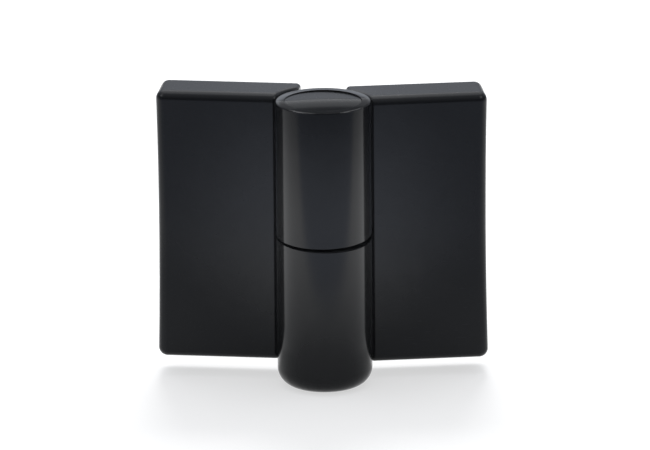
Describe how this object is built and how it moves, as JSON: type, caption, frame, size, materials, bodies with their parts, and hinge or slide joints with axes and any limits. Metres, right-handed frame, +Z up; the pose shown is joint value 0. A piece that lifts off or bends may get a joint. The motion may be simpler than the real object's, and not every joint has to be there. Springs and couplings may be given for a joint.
{
  "type": "cubicle door hinge",
  "caption": "Gravity hinge for a cubicle door: two deep covered leaves on a round two-part barrel, with helical cams that lift the door as it opens.",
  "frame": {"origin": "centre of the frame leaf's four fixing holes, on its mounting face", "axes": "+Y back into the panel, square to the mounting face; +X from the barrel out along the frame leaf; +Z up along the pin"},
  "size_m": [0.1, 0.0432, 0.0903],
  "materials": {
    "black_nylon": "glossy moulded black polyamide",
    "black_acetal": "satin black acetal, greased",
    "natural_nylon": "natural off-white polyamide",
    "plated_steel": "bright zinc plate",
    "pin_steel": "ground stainless steel"
  },
  "bodies": {
    "frame": {"frame_leaf": "black_nylon", "frame_cover": "black_nylon", "frame_load_plate": "plated_steel", "frame_plate_screws": "plated_steel", "lower_bush": "natural_nylon", "lower_cam": "black_acetal"},
    "pin": {"hinge_pin": "pin_steel", "pin_washer": "plated_steel", "pin_nut": "plated_steel"},
    "door": {"door_leaf": "black_nylon", "door_cover": "black_nylon", "door_load_plate": "plated_steel", "door_plate_screws": "plated_steel", "upper_bush": "natural_nylon", "upper_cam": "black_acetal", "top_cap": "black_nylon"}
  },
  "joints": [
    {"name": "door_rise", "type": "slide", "parent": "frame", "child": "pin", "axis": [0, 0, 1], "range_m": [0, 0.0096]},
    {"name": "door_swing", "type": "hinge", "parent": "pin", "child": "door", "pos_m": [-0.03345, -0.0173, 0], "axis": [0, 0, 1], "range_deg": [0, 115]}
  ],
  "couplings": [
    {"joint": "door_rise", "follows": "door_swing", "m_per_rad": 0.0047746}
  ]
}
